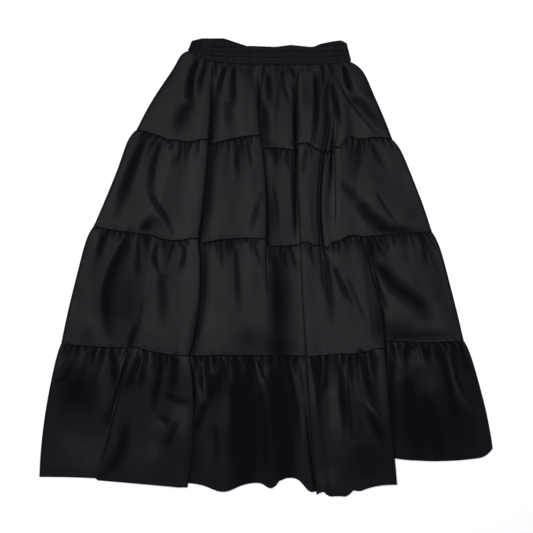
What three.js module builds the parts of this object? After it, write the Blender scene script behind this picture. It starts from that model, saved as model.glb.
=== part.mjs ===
import * as THREE from "three";

// A tiered prairie skirt with an elasticated waistband, laid flat with its front up.
// Millimetres. X runs to the right, Y from the hem to the waist and Z up.
// The back panels lie on Z = 0 and the front panels lie on the back ones.

// Walls and gaps
const CLOTH_WALL = 1.0;
const BAND_WALL = 2.2;
const SEAM_GAP = 0.3;
const BAND_SEAM_GAP = 0.4;
const MOST_STEEPNESS = 5;
const BACK_WAIST_DROP = 0.5;
const LAYER_GAP = 0.3;
const BACK_INSET = 1.0;

// Heights of the middle of the front wall
const EDGE_HEIGHT = CLOTH_WALL + LAYER_GAP + CLOTH_WALL / 2;
const TROUGH_RISE = 0.1;
const LOWEST_HEIGHT = EDGE_HEIGHT + TROUGH_RISE;
const PLEAT_STEP = 4.8;
const PLEAT_MIDDLE = LOWEST_HEIGHT + PLEAT_STEP / 2;
const PLAIN_RISE = 1.0;
const FULL_STEP_TUCK = 7;
const EDGE_ROUNDING = 16;
const CREASE_CALM = 14;

// The tables give a value on each of these levels: every seam, and halfway down every tier.
// waist, tier 1, seam 1, tier 2, seam 2, tier 3, seam 3, tier 4, hem
const TIERS = 4;

// X of the side edges, and of the visible edge of each pleat, on the nine levels
const LINE_X = {
  leftEdge: [-153, -214, -258, -302, -344, -382, -409, -440, -453],
  outerLeft: [-141, -163, -187, -211, -235, -243, -269, -303, -338],
  left: [-106, -110, -114, -119, -132, -132, -151, -144, -157],
  centreLeft: [-13, -16, -10, 0, 0, 3, 9, 17, 23],
  centreRight: [67, 62, 63, 63, 67, 72, 79, 88, 101],
  invertedLeft: [121, 125, 112, 104, 108, 115, 122, 132, 143],
  invertedRight: [137, 143, 136, 137, 139, 149, 157, 167, 181],
  outerRight: [155, 173, 189, 190, 186, 221, 237, 249, 261],
  rightEdge: [167, 218, 252, 298, 331, 367, 395, 433, 453],
};

// Pleats from left to right: the side whose cloth lies on top, and the overlap on the nine levels
const PLEATS = [
  { line: "outerLeft", top: "right", overlap: [0, 0, 0, 0, 2, 9, 14, 18, 20] },
  { line: "left", top: "left", overlap: [5, 10, 14, 16, 18, 18, 20, 20, 22] },
  { line: "centreLeft", top: "left", overlap: [5, 10, 16, 17, 12, 0, 0, 0, 0] },
  { line: "centreRight", top: "right", overlap: [4, 8, 12, 12, 10, 8, 8, 10, 12] },
  { line: "invertedLeft", top: "left", overlap: [0, 4, 10, 10, 8, 0, 0, 0, 0] },
  { line: "invertedRight", top: "right", overlap: [0, 2, 8, 4, 0, 0, 0, 0, 0] },
  { line: "outerRight", top: "left", overlap: [0, 0, 0, 0, 4, 12, 18, 22, 24] },
];

// Half the width of the roll of cloth at a pleat, on the nine levels
const PLEAT_ROLL = [3, 6, 8, 8, 8, 8, 8, 8, 8];

// Panels between those lines: Y of each seam at the panel's left end, middle and right end,
// and how far the cloth bulges up in the panel's middle on each tier
const PANELS = [
  // Left side
  {
    bulge: [1, 1, 1.5, 1.5],
    seam1: [275, 266, 254], seam2: [82, 72, 66], seam3: [-152, -159, -160], hem: [-419, -419, -421],
  },
  // Left front
  {
    bulge: [0.5, 1, 1, 1.5],
    seam1: [254, 250, 255], seam2: [64, 53, 58], seam3: [-160, -171, -176], hem: [-426, -432, -439],
  },
  // Left centre
  {
    bulge: [1.5, 2, 2, 1.5],
    seam1: [243, 255, 263], seam2: [46, 56, 57], seam3: [-177, -176, -176], hem: [-431, -431, -429],
  },
  // Centre recess
  {
    bulge: [1.5, 1, 0.5, 0],
    seam1: [239, 237, 233], seam2: [42, 42, 45], seam3: [-176, -176, -177], hem: [-424, -422, -440],
  },
  // Right centre
  {
    bulge: [0.5, 0.5, 0, 0],
    seam1: [247, 245, 235], seam2: [50, 49, 43], seam3: [-178, -177, -175], hem: [-437, -453, -457],
  },
  // Inverted pleat
  {
    bulge: [0, 0, 0, 0],
    seam1: [231, 230, 231], seam2: [41, 39, 50], seam3: [-175, -174, -173], hem: [-457, -456, -446],
  },
  // Right front
  {
    bulge: [0, 0.5, 1, 1.5],
    seam1: [239, 258, 256], seam2: [52, 61, 64], seam3: [-173, -170, -162], hem: [-447, -437, -433],
  },
  // Right side
  {
    bulge: [1, 1, 1.5, 1.5],
    seam1: [256, 259, 255], seam2: [61, 67, 71], seam3: [-145, -150, -147], hem: [-382, -389, -377],
  },
];
const SEAMS = ["waist", "seam1", "seam2", "seam3", "hem"];

// The waist seam is level in the middle and climbs towards both side edges
const WAIST_LEVEL = 405;
const WAIST_LEFT = { rise: 28, reach: 32 };
const WAIST_RIGHT = { rise: 6, reach: 25 };

// Where the hem hangs lower, as the mouths of the folds do, and higher, as its right corner does
const HEM_DIPS = [
  { x: -86, reach: 34, depth: 17 },
  { x: 9, reach: 14, depth: 12 },
  { x: 92, reach: 16, depth: 16 },
  { x: 462, reach: 18, depth: -20 },
];

// How far the gathers push the side edges out below each seam, and how far down the tier that is
const SIDE_PUFFS = [
  { left: 9, right: 14, reachLeft: 0.07, reachRight: 0.16 },
  { left: 9, right: 6, reachLeft: 0.15, reachRight: 0.15 },
  { left: 6, right: 6, reachLeft: 0.15, reachRight: 0.2 },
  { left: 2, right: 3, reachLeft: 0.12, reachRight: 0.12 },
];

// The largest creases of the front: from one point to another, with the width across and the
// height, which is negative for a trough
const CREASES = [
  { fromX: -137, fromY: 410, toX: -158, toY: 325, width: 16, height: -2.2 },
  { fromX: -63, fromY: 400, toX: -75, toY: 300, width: 12, height: -1.8 },
  { fromX: 101, fromY: 385, toX: 101, toY: 255, width: 12, height: -1.8 },
  { fromX: 131, fromY: 360, toX: 148, toY: 290, width: 12, height: -1.8 },
  { fromX: 170, fromY: 345, toX: 209, toY: 313, width: 18, height: -1.8 },
  { fromX: -247, fromY: 255, toX: -296, toY: 110, width: 20, height: -2.2 },
  { fromX: -222, fromY: 235, toX: -200, toY: 90, width: 20, height: -2 },
  { fromX: -55, fromY: 245, toX: -56, toY: 180, width: 14, height: -1.8 },
  { fromX: 155, fromY: 165, toX: 225, toY: 90, width: 22, height: -2.4 },
  { fromX: -278, fromY: 60, toX: -325, toY: -60, width: 22, height: -2.4 },
  { fromX: -325, fromY: -60, toX: -315, toY: -132, width: 20, height: -2 },
  { fromX: -58, fromY: 40, toX: -53, toY: -90, width: 20, height: -1.8 },
  { fromX: 120, fromY: 20, toX: 137, toY: -120, width: 20, height: -1.6 },
  { fromX: 226, fromY: 5, toX: 322, toY: -105, width: 26, height: -2.4 },
  { fromX: -207, fromY: -185, toX: -225, toY: -280, width: 18, height: -2.2 },
  { fromX: 155, fromY: -200, toX: 175, toY: -340, width: 18, height: -2 },
  { fromX: 193, fromY: -185, toX: 215, toY: -270, width: 18, height: -2.2 },
  { fromX: 350, fromY: -160, toX: 373, toY: -295, width: 20, height: -1.8 },
  { fromX: -421, fromY: -220, toX: -346, toY: -280, width: 40, height: -2 },
  { fromX: -25, fromY: -230, toX: -10, toY: -420, width: 50, height: -2.2 },
];

// The back is smoother: Y of its seams at the left side, in the middle and at the right side
const BACK_SEAMS = {
  seam1: [275, 254, 255],
  seam2: [82, 62, 71],
  seam3: [-152, -163, -147],
};

// The back's hem from left to right, which stays behind the front's
const BACK_HEM = [
  { x: -453, y: -417 },
  { x: -180, y: -421 },
  { x: 120, y: -421 },
  { x: 258, y: -382 },
  { x: 370, y: -383 },
  { x: 453, y: -358 },
];

// Waistband: the top edge of its front and back halves, and its slanting ends
const BAND_FRONT_TOP = [
  { x: -148, y: 436 },
  { x: -100, y: 438 },
  { x: -30, y: 441 },
  { x: 18, y: 439 },
  { x: 50, y: 443 },
  { x: 88, y: 439 },
  { x: 158, y: 444 },
];
const BAND_BACK_TOP = [
  { x: -148, y: 452 },
  { x: -128, y: 457 },
  { x: -84, y: 457 },
  { x: -48, y: 445 },
  { x: -20, y: 436 },
  { x: 90, y: 438 },
  { x: 109, y: 446 },
  { x: 133, y: 451 },
  { x: 150, y: 453 },
  { x: 158, y: 449 },
];
const BAND_LEFT = { bottom: -153, top: -147 };
const BAND_RIGHT = { bottom: 167, top: 158 };
const BAND_INNER_GAP = 0.6;
const BAND_STEP = 9;
const BAND_ROWS = 2;
const BAND_BEND_POINTS = 3;

// How finely the walls are divided
const ROW_PARTS = [0, 0.1, 0.3, 0.54, 0.78, 1];
const BACK_COLUMNS = 16;
const PLEAT_STATIONS = [-0.72, -0.5, 0, 0.5, 0.72];
const PANEL_COLUMNS = [6, 5, 6, 4, 3, 1, 3, 5];
const EDGE_CROWDING = 1.5;
const TIER_END = 1 - 1e-9;

const clothMaterial = new THREE.MeshStandardMaterial({ color: 0x17181b, roughness: 0.75, metalness: 0 });
const backMaterial = new THREE.MeshStandardMaterial({ color: 0x121316, roughness: 0.8, metalness: 0 });
const bandMaterial = new THREE.MeshStandardMaterial({ color: 0x1b1c20, roughness: 0.85, metalness: 0 });

function mix(from, to, part) {
  return from + (to - from) * part;
}

function smooth(part) {
  const held = Math.min(1, Math.max(0, part));
  return held * held * (3 - 2 * held);
}

// The parabola through a value at the start, halfway and at the end
function through(first, middle, last, part) {
  return first * (1 - part) * (1 - 2 * part) + middle * 4 * part * (1 - part) + last * part * (2 * part - 1);
}

// The Y at an X on an outline through points
function along(points, x) {
  let next = points.findIndex((point) => point.x >= x);
  next = next < 1 ? (next === 0 ? 1 : points.length - 1) : next;
  const before = points[next - 1];
  const after = points[next];
  const part = Math.min(1, Math.max(0, (x - before.x) / (after.x - before.x)));
  return mix(before.y, after.y, part);
}

// A table's value at a depth, which counts tiers down from the waist
function atDepth(values, depth) {
  const tier = Math.min(TIERS - 1, Math.floor(depth));
  return through(values[2 * tier], values[2 * tier + 1], values[2 * tier + 2], depth - tier);
}

// A hump that rises below a seam and dies away down the tier
function puff(part, reach) {
  return (part / reach) * Math.exp(1 - part / reach) * (1 - part);
}

function sideX(side, depth) {
  const tier = Math.min(TIERS - 1, Math.floor(depth));
  const row = SIDE_PUFFS[tier];
  const part = depth - tier;
  return side === "left"
    ? atDepth(LINE_X.leftEdge, depth) - row.left * puff(part, row.reachLeft)
    : atDepth(LINE_X.rightEdge, depth) + row.right * puff(part, row.reachRight);
}

// What a pleat measures at a depth: its middle, its roll, its tuck and the step between its sides
function pleatAt(index, depth) {
  const pleat = PLEATS[index];
  const roll = atDepth(PLEAT_ROLL, depth);
  const overlap = Math.max(0, atDepth(pleat.overlap, depth));
  const presence = Math.min(1, overlap / roll);
  const tuck = (overlap + roll * presence) / 2;
  const side = pleat.top === "left" ? 1 : -1;
  return {
    side,
    roll,
    tuck,
    presence,
    x: atDepth(LINE_X[pleat.line], depth) + side * ((roll / 2) * presence - tuck),
    step: PLEAT_STEP * Math.min(1, tuck / FULL_STEP_TUCK),
    height: PLEAT_MIDDLE + PLAIN_RISE * (1 - presence),
  };
}

function waistY(x) {
  const left = WAIST_LEFT.rise * Math.exp(-(x - LINE_X.leftEdge[0]) / WAIST_LEFT.reach);
  const right = WAIST_RIGHT.rise * Math.exp(-(LINE_X.rightEdge[0] - x) / WAIST_RIGHT.reach);
  return WAIST_LEVEL + left + right;
}

function seamY(panel, seam, part, waistX) {
  if (seam === 0) {
    return waistY(waistX);
  }
  const [first, middle, last] = PANELS[panel][SEAMS[seam]];
  return through(first, middle, last, part);
}

function hemDip(x) {
  return HEM_DIPS.reduce((sum, dip) => sum + dip.depth * Math.exp(-(((x - dip.x) / dip.reach) ** 2)), 0);
}

// Y of the cloth at a panel's part across and a depth, with the hem's dips let in down the last tier.
// The same thread of cloth starts at waistX on the waist seam.
function clothY(panel, part, depth, x, waistX) {
  const tier = Math.min(TIERS - 1, Math.floor(depth));
  const down = depth - tier;
  const y = mix(seamY(panel, tier, part, waistX), seamY(panel, tier + 1, part, waistX), down);
  return tier === TIERS - 1 ? y - hemDip(x) * down * down : y;
}

// Height that the creases add at a point
function creaseHeight(x, y) {
  let height = 0;
  for (const crease of CREASES) {
    const runX = crease.toX - crease.fromX;
    const runY = crease.toY - crease.fromY;
    const part = ((x - crease.fromX) * runX + (y - crease.fromY) * runY) / (runX ** 2 + runY ** 2);
    const held = Math.min(1, Math.max(0, part));
    const offX = x - crease.fromX - held * runX;
    const offY = y - crease.fromY - held * runY;
    height += crease.height * Math.exp(-(offX ** 2 + offY ** 2) / crease.width ** 2);
  }
  return height;
}

// The pleats on both sides of a panel and the X at which its own cloth starts and ends
function panelSpan(panel, depth) {
  const before = panel > 0 ? pleatAt(panel - 1, depth) : null;
  const after = panel < PLEATS.length ? pleatAt(panel, depth) : null;
  return {
    before,
    after,
    startX: before ? before.x + before.roll : sideX("left", depth),
    endX: after ? after.x - after.roll : sideX("right", depth),
  };
}

function panelPoint(panel, part, depth) {
  const { before, after, startX, endX } = panelSpan(panel, depth);
  const waist = panelSpan(panel, 0);
  const x = mix(startX, endX, part);
  const y = clothY(panel, part, depth, x, mix(waist.startX, waist.endX, part));
  const tier = Math.min(TIERS - 1, Math.floor(depth));
  const startHeight = before ? before.height - (before.side * before.step) / 2 : after.height;
  const endHeight = after ? after.height + (after.side * after.step) / 2 : before.height;
  const flat = mix(startHeight, endHeight, smooth(part));
  const calmStart = before ? 1 - before.presence * Math.exp(-((x - startX) / CREASE_CALM)) : 1;
  const calmEnd = after ? 1 - after.presence * Math.exp(-((endX - x) / CREASE_CALM)) : 1;
  const bulge = PANELS[panel].bulge[tier] * Math.sin(Math.PI * part) * Math.sin(Math.PI * (depth - tier));
  let z = flat + bulge + creaseHeight(x, y) * Math.max(0, calmStart) * Math.max(0, calmEnd);
  if (!before) {
    z = mix(EDGE_HEIGHT, z, 1 - Math.exp(-(x - startX) / EDGE_ROUNDING));
  }
  if (!after) {
    z = mix(EDGE_HEIGHT, z, 1 - Math.exp(-(endX - x) / EDGE_ROUNDING));
  }
  const lowest = before && after ? LOWEST_HEIGHT : EDGE_HEIGHT;
  return { x, y, z: Math.max(lowest, z) };
}

// A pleat's cloth runs forward, back under itself and forward again as turn goes from -1 to 1
function pleatX(pleat, turn) {
  return pleat.x + pleat.roll * turn - pleat.tuck * Math.sin(Math.PI * turn);
}

function pleatPoint(index, turn, depth) {
  const pleat = pleatAt(index, depth);
  const x = pleatX(pleat, turn);
  const waistX = pleatX(pleatAt(index, 0), turn);
  const before = clothY(index, 1, depth, x, waistX);
  const after = clothY(index + 1, 0, depth, x, waistX);
  const y = mix(before, after, smooth(turn + 0.5));
  const flat = pleat.height - (pleat.side * pleat.step * turn) / 2;
  const z = flat + creaseHeight(x, y) * (1 - pleat.presence);
  return { x, y, z: Math.max(LOWEST_HEIGHT, z) };
}

// The front's stations from the left edge to the right, each a function of the depth
function frontStations() {
  const stations = [];
  PANELS.forEach((_, panel) => {
    const columns = PANEL_COLUMNS[panel];
    for (let column = 0; column <= columns; column += 1) {
      let part = column / columns;
      if (panel === 0) {
        part **= EDGE_CROWDING;
      }
      if (panel === PANELS.length - 1) {
        part = 1 - (1 - part) ** EDGE_CROWDING;
      }
      stations.push((depth) => panelPoint(panel, part, depth));
    }
    if (panel < PLEATS.length) {
      PLEAT_STATIONS.forEach((turn) => stations.push((depth) => pleatPoint(panel, turn, depth)));
    }
  });
  return stations;
}

// The direction across a row of points, square to it in the upright plane
function uprightNormals(row) {
  return row.map((_, index) => {
    const before = row[Math.max(0, index - 1)];
    const after = row[Math.min(row.length - 1, index + 1)];
    const here = row[index];
    const sides = [[before, here], [here, after]].map(([from, to]) => {
      const length = Math.hypot(to.x - from.x, to.z - from.z) || 1;
      return { x: -(to.z - from.z) / length, z: (to.x - from.x) / length };
    });
    const x = sides[0].x + sides[1].x;
    const z = sides[0].z + sides[1].z;
    const length = Math.hypot(x, z) || 1;
    return { x: x / length, z: z / length };
  });
}

// A closed wall of even thickness about rows of points that run from left to right, waist to hem
function wallAbout(rows, wall) {
  const columns = rows[0].length;
  const positions = [];
  const indices = [];
  for (const side of [0.5, -0.5]) {
    for (const row of rows) {
      const normals = uprightNormals(row);
      row.forEach((point, column) => {
        const offset = side * wall;
        const normal = normals[column];
        positions.push(point.x + offset * normal.x, point.y, point.z + offset * normal.z);
      });
    }
  }
  const under = rows.length * columns;
  const quad = (a, b, c, d) => indices.push(a, b, c, a, c, d);
  for (let row = 0; row < rows.length - 1; row += 1) {
    for (let column = 0; column < columns - 1; column += 1) {
      const corner = row * columns + column;
      quad(corner, corner + columns, corner + columns + 1, corner + 1);
      quad(under + corner, under + corner + 1, under + corner + columns + 1, under + corner + columns);
    }
    const left = row * columns;
    const right = left + columns - 1;
    quad(left, under + left, under + left + columns, left + columns);
    quad(right, right + columns, under + right + columns, under + right);
  }
  const last = (rows.length - 1) * columns;
  for (let column = 0; column < columns - 1; column += 1) {
    quad(column, column + 1, under + column + 1, under + column);
    quad(last + column, under + last + column, under + last + column + 1, last + column + 1);
  }
  const geometry = new THREE.BufferGeometry();
  geometry.setAttribute("position", new THREE.Float32BufferAttribute(positions, 3));
  geometry.setIndex(indices);
  geometry.computeVertexNormals();
  return geometry;
}

// How much longer a seam is than its run in the upright plane, beside one of its points
function steepness(row, column) {
  let most = 1;
  for (const next of [column - 1, column + 1]) {
    if (next >= 0 && next < row.length) {
      const run = Math.hypot(row[next].x - row[column].x, row[next].z - row[column].z);
      const rise = Math.abs(row[next].y - row[column].y);
      most = Math.max(most, Math.hypot(run, rise) / Math.max(run, rise / MOST_STEEPNESS));
    }
  }
  return Math.min(MOST_STEEPNESS, most);
}

// Moves a tier's first and last rows so that half the seam gap is left on each side of a seam,
// also where the seam runs steeply up or down inside a pleat
function withSeamGaps(rows, gapAbove, gapBelow) {
  const last = rows.length - 1;
  return rows.map((row, index) => {
    const shift = index === 0 ? -gapAbove : index === last ? gapBelow : 0;
    return row.map((point, column) => ({ ...point, y: point.y + shift * steepness(row, column) }));
  });
}

// The depth at a part of the way down a tier, kept just short of the next tier at its end
function depthOf(tier, part) {
  return tier + Math.min(part, TIER_END);
}

function frontTier(tier) {
  const stations = frontStations();
  const rows = ROW_PARTS.map((part) => stations.map((station) => station(depthOf(tier, part))));
  const gapBelow = tier === TIERS - 1 ? 0 : SEAM_GAP / 2;
  const gapAbove = tier === 0 ? 0 : SEAM_GAP / 2;
  return wallAbout(withSeamGaps(rows, gapAbove, gapBelow), CLOTH_WALL);
}

// Y of the back's seams, the hem among them, at a part of the way across
function backY(seam, part, x, waistX) {
  if (seam === TIERS) {
    return along(BACK_HEM, x);
  }
  if (seam === 0) {
    return waistY(waistX) - BACK_WAIST_DROP;
  }
  const [first, middle, last] = BACK_SEAMS[SEAMS[seam]];
  return through(first, middle, last, part);
}

function backTier(tier) {
  const rows = [];
  for (const down of ROW_PARTS) {
    const depth = depthOf(tier, down);
    const points = [];
    for (let column = 0; column <= BACK_COLUMNS; column += 1) {
      const part = (1 - Math.cos((Math.PI * column) / BACK_COLUMNS)) / 2;
      const x = mix(sideX("left", depth) + BACK_INSET, sideX("right", depth) - BACK_INSET, part);
      const waistX = mix(LINE_X.leftEdge[0] + BACK_INSET, LINE_X.rightEdge[0] - BACK_INSET, part);
      const y = mix(backY(tier, part, x, waistX), backY(tier + 1, part, x, waistX), down);
      points.push({ x, y, z: CLOTH_WALL / 2 });
    }
    rows.push(points);
  }
  const gapBelow = tier === TIERS - 1 ? 0 : SEAM_GAP / 2;
  const gapAbove = tier === 0 ? 0 : SEAM_GAP / 2;
  return wallAbout(withSeamGaps(rows, gapAbove, gapBelow), CLOTH_WALL);
}

// The waistband is one ring: front half, right bend, back half and left bend, seen from the waist
function bandStations() {
  const count = Math.round((BAND_RIGHT.bottom - BAND_LEFT.bottom) / BAND_STEP);
  const backHeight = BAND_WALL / 2;
  const frontHeight = BAND_WALL + BAND_INNER_GAP + BAND_WALL / 2;
  const radius = (frontHeight - backHeight) / 2;
  const stations = [];
  const place = (part, height, front, out) => {
    const lowX = mix(BAND_LEFT.bottom, BAND_RIGHT.bottom, part);
    const highX = mix(BAND_LEFT.top, BAND_RIGHT.top, part);
    const low = waistY(lowX) + BAND_SEAM_GAP;
    const high = mix(along(BAND_BACK_TOP, highX), along(BAND_FRONT_TOP, highX), front);
    stations.push((up) => ({ x: mix(lowX, highX, up) + out, y: mix(low, high, up), z: height }));
  };
  for (let index = 0; index <= count; index += 1) {
    place(index / count, frontHeight, 1, 0);
  }
  for (let index = 1; index <= BAND_BEND_POINTS; index += 1) {
    const angle = (Math.PI * index) / (BAND_BEND_POINTS + 1);
    const height = backHeight + radius + radius * Math.cos(angle);
    place(1, height, (1 + Math.cos(angle)) / 2, radius * Math.sin(angle));
  }
  for (let index = count; index >= 0; index -= 1) {
    place(index / count, backHeight, 0, 0);
  }
  for (let index = 1; index <= BAND_BEND_POINTS; index += 1) {
    const angle = (Math.PI * index) / (BAND_BEND_POINTS + 1);
    const height = backHeight + radius - radius * Math.cos(angle);
    place(0, height, (1 - Math.cos(angle)) / 2, -radius * Math.sin(angle));
  }
  return stations;
}

// A closed wall about rings of points, each ring a row that joins up with itself
function ringWall(rings, wall) {
  const count = rings[0].length;
  const positions = [];
  const indices = [];
  for (const side of [0.5, -0.5]) {
    for (const ring of rings) {
      const looped = [ring[count - 1], ...ring, ring[0]];
      const normals = uprightNormals(looped).slice(1, count + 1);
      ring.forEach((point, index) => {
        const normal = normals[index];
        positions.push(point.x + side * wall * normal.x, point.y, point.z + side * wall * normal.z);
      });
    }
  }
  const inner = rings.length * count;
  const quad = (a, b, c, d) => indices.push(a, b, c, a, c, d);
  for (let index = 0; index < count; index += 1) {
    const next = (index + 1) % count;
    for (let ring = 0; ring < rings.length - 1; ring += 1) {
      const here = ring * count;
      const above = here + count;
      quad(here + index, here + next, above + next, above + index);
      quad(inner + here + index, inner + above + index, inner + above + next, inner + here + next);
    }
    const top = (rings.length - 1) * count;
    quad(index, inner + index, inner + next, next);
    quad(top + index, top + next, inner + top + next, inner + top + index);
  }
  const geometry = new THREE.BufferGeometry();
  geometry.setAttribute("position", new THREE.Float32BufferAttribute(positions, 3));
  geometry.setIndex(indices);
  geometry.computeVertexNormals();
  return geometry;
}

function waistband() {
  const stations = bandStations();
  const rings = [];
  for (let row = 0; row <= BAND_ROWS; row += 1) {
    rings.push(stations.map((station) => station(row / BAND_ROWS)));
  }
  return ringWall(rings, BAND_WALL);
}

function named(name, geometry, material) {
  const mesh = new THREE.Mesh(geometry, material);
  mesh.name = name;
  return mesh;
}

const skirt = new THREE.Group();
skirt.add(named("waistband", waistband(), bandMaterial));
for (let tier = 0; tier < TIERS; tier += 1) {
  skirt.add(named(`tier_${tier + 1}_front`, frontTier(tier), clothMaterial));
  skirt.add(named(`tier_${tier + 1}_back`, backTier(tier), backMaterial));
}

export default skirt;
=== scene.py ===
import math
import random

import bpy
import numpy as np
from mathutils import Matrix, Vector


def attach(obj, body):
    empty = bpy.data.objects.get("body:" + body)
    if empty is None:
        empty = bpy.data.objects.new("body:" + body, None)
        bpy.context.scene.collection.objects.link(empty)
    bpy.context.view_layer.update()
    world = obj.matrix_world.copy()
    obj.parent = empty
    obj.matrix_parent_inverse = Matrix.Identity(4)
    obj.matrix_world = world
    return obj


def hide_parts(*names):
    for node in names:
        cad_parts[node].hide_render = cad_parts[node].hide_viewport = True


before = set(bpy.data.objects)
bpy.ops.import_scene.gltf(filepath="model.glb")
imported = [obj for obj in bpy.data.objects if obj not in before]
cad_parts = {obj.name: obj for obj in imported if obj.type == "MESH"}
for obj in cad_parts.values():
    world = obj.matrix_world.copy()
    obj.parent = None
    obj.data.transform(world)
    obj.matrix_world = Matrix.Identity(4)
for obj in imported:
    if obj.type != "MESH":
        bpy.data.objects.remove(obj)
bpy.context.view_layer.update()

# The tiered prairie skirt, laid flat with its front up.
# Tables and lengths are in millimetres and are turned into metres where a mesh is made.
MM = 0.001
SEED = 20
BACK_SEED = 30
BAND_SEED = 50

# Cloth walls and the heights of the cloth's middle surface
CLOTH_THICKNESS = 0.5
BAND_THICKNESS = 1.4
FRONT_EDGE_HEIGHT = 1.15
BACK_EDGE_HEIGHT = 0.45
BACK_HEIGHT = 0.35
LOWEST_HEIGHT = 1.6
SIDE_HEIGHT = 6.5
PLEAT_STEP = 9.0
PLEAT_MIDDLE = 7.0
WAIST_HEIGHT = 6.0
WAIST_EASE = 90
WAIST_CURVE = 0.8
PLAIN_RISE = 1.2
FULL_STEP_TUCK = 7
EDGE_ROUNDING = 1.2
CREASE_CALM = 5
SEAM_LAP = 4
LAP_DROP = 0.9
LAP_ROWS = (1, 0.5)
SEAM_DROP = 1.9
WAIST_DROP = 0.7
SEAM_DROP_REACH = 1.8

# Beside a side edge the gathers fade out, and the cloth climbs at least this steeply
GATHER_FADE = 12
BACK_GATHER_FADE = 15
EDGE_SLOPE = 0.4

# Beside a pleat its lower cloth climbs out of a narrow groove, and then more slowly
FOOT_RISE = 2.6
FOOT_REACH = 15
FOOT_START = 0.35
GROOVE_DEPTH = 3.4
GROOVE_REACH = 2.2

# The tables give a value on each of these levels: every seam, and halfway down every tier.
# waist, tier 1, seam 1, tier 2, seam 2, tier 3, seam 3, tier 4, hem
TIERS = 4
TIER_DEPTHS = [158, 194, 228, 264]

# X of the side edges, and of the visible edge of each pleat, on the nine levels
LINE_X = {
    "left_edge": [-153, -214, -258, -302, -344, -382, -409, -440, -453],
    "outer_left": [-141, -163, -187, -211, -235, -243, -269, -303, -338],
    "left": [-106, -110, -115, -122, -135, -132, -153, -144, -157],
    "centre_left": [-13, -16, -10, 0, 0, 3, 9, 17, 23],
    "centre_right": [67, 62, 63, 63, 67, 72, 79, 88, 101],
    "inverted_left": [121, 125, 112, 104, 108, 115, 122, 132, 143],
    "inverted_right": [137, 143, 136, 137, 139, 149, 157, 167, 181],
    "outer_right": [155, 173, 189, 190, 186, 221, 237, 249, 261],
    "right_edge": [167, 218, 252, 298, 331, 367, 395, 433, 453],
}

# Pleats from left to right: the side whose cloth lies on top, the overlap on the nine levels, and
# how much farther than usual its lower cloth reaches before it is level
PLEATS = [
    {"line": "outer_left", "top": "right", "overlap": [0, 0, 0, 0, 0, 0, 12, 7, 0]},
    {"line": "left", "top": "left", "overlap": [5, 10, 14, 16, 18, 18, 20, 20, 22], "foot": 1.5},
    {"line": "centre_left", "top": "left", "overlap": [5, 10, 16, 17, 12, 0, 0, 0, 0], "foot": 1.5},
    {"line": "centre_right", "top": "right", "overlap": [4, 8, 10, 8, 4, 3, 3, 6, 12], "foot": 0.5},
    {"line": "inverted_left", "top": "left", "overlap": [0, 4, 10, 10, 8, 0, 0, 0, 0]},
    {"line": "inverted_right", "top": "right", "overlap": [0, 2, 8, 4, 0, 0, 0, 0, 0]},
    {"line": "outer_right", "top": "left", "overlap": [0, 0, 0, 0, 0, 12, 18, 22, 24]},
]
PLEAT_ROLL = [3, 6, 8, 8, 8, 8, 8, 8, 8]

# Panels between those lines: Y of each seam at the panel's left end, middle and right end,
# and how far the cloth bulges up in the panel's middle on each tier
PANELS = [
    # Left side
    {"bulge": [2, 2, 2.5, 3], "seam1": [275, 266, 254], "seam2": [82, 72, 66],
     "seam3": [-152, -159, -160], "hem": [-419, -419, -421]},
    # Left front
    {"bulge": [1, 2, 2, 2.5], "seam1": [254, 250, 255], "seam2": [64, 53, 58],
     "seam3": [-160, -171, -176], "hem": [-426, -432, -439]},
    # Left centre
    {"bulge": [2.5, 3, 3, 2.5], "seam1": [243, 255, 263], "seam2": [46, 56, 57],
     "seam3": [-177, -176, -176], "hem": [-431, -431, -429]},
    # Centre recess
    {"bulge": [3, 2, 1, 1], "seam1": [239, 237, 233], "seam2": [42, 42, 45],
     "seam3": [-176, -176, -177], "hem": [-424, -422, -440]},
    # Right centre
    {"bulge": [1, 1, 0, 0], "seam1": [247, 245, 235], "seam2": [50, 49, 43],
     "seam3": [-178, -177, -175], "hem": [-447, -456, -457]},
    # Inverted pleat
    {"bulge": [0, 0, 0, 0], "seam1": [231, 230, 231], "seam2": [41, 39, 50],
     "seam3": [-175, -174, -173], "hem": [-457, -456, -446]},
    # Right front
    {"bulge": [0, 1, 2, 2.5], "seam1": [239, 258, 256], "seam2": [52, 61, 64],
     "seam3": [-173, -170, -162], "hem": [-447, -438, -434]},
    # Right side
    {"bulge": [2, 0.5, 2, 3], "seam1": [256, 259, 255], "seam2": [61, 67, 71],
     "seam3": [-145, -150, -147], "hem": [-382, -387, -377]},
]
SEAMS = ["waist", "seam1", "seam2", "seam3", "hem"]

# The waist seam is level in the middle and climbs towards both side edges
WAIST_LEVEL = 405
WAIST_LEFT = {"rise": 28, "reach": 32}
WAIST_RIGHT = {"rise": 6, "reach": 25}

# Where the hem hangs lower, as the mouths of the folds do, and higher, as its right corner does
HEM_DIPS = [
    {"x": -86, "reach": 34, "depth": 17},
    {"x": 9, "reach": 14, "depth": 12},
    {"x": 86, "reach": 16, "depth": 16},
    {"x": 462, "reach": 18, "depth": -20},
]

# How far the gathers push the side edges out below each seam, and how far down the tier that is
SIDE_PUFFS = [
    {"left": 9, "right": 14, "reach_left": 0.07, "reach_right": 0.16},
    {"left": 9, "right": 6, "reach_left": 0.15, "reach_right": 0.15},
    {"left": 6, "right": 6, "reach_left": 0.15, "reach_right": 0.2},
    {"left": 2, "right": 3, "reach_left": 0.12, "reach_right": 0.12},
]

TROUGH_MATTNESS = 0.16


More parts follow.
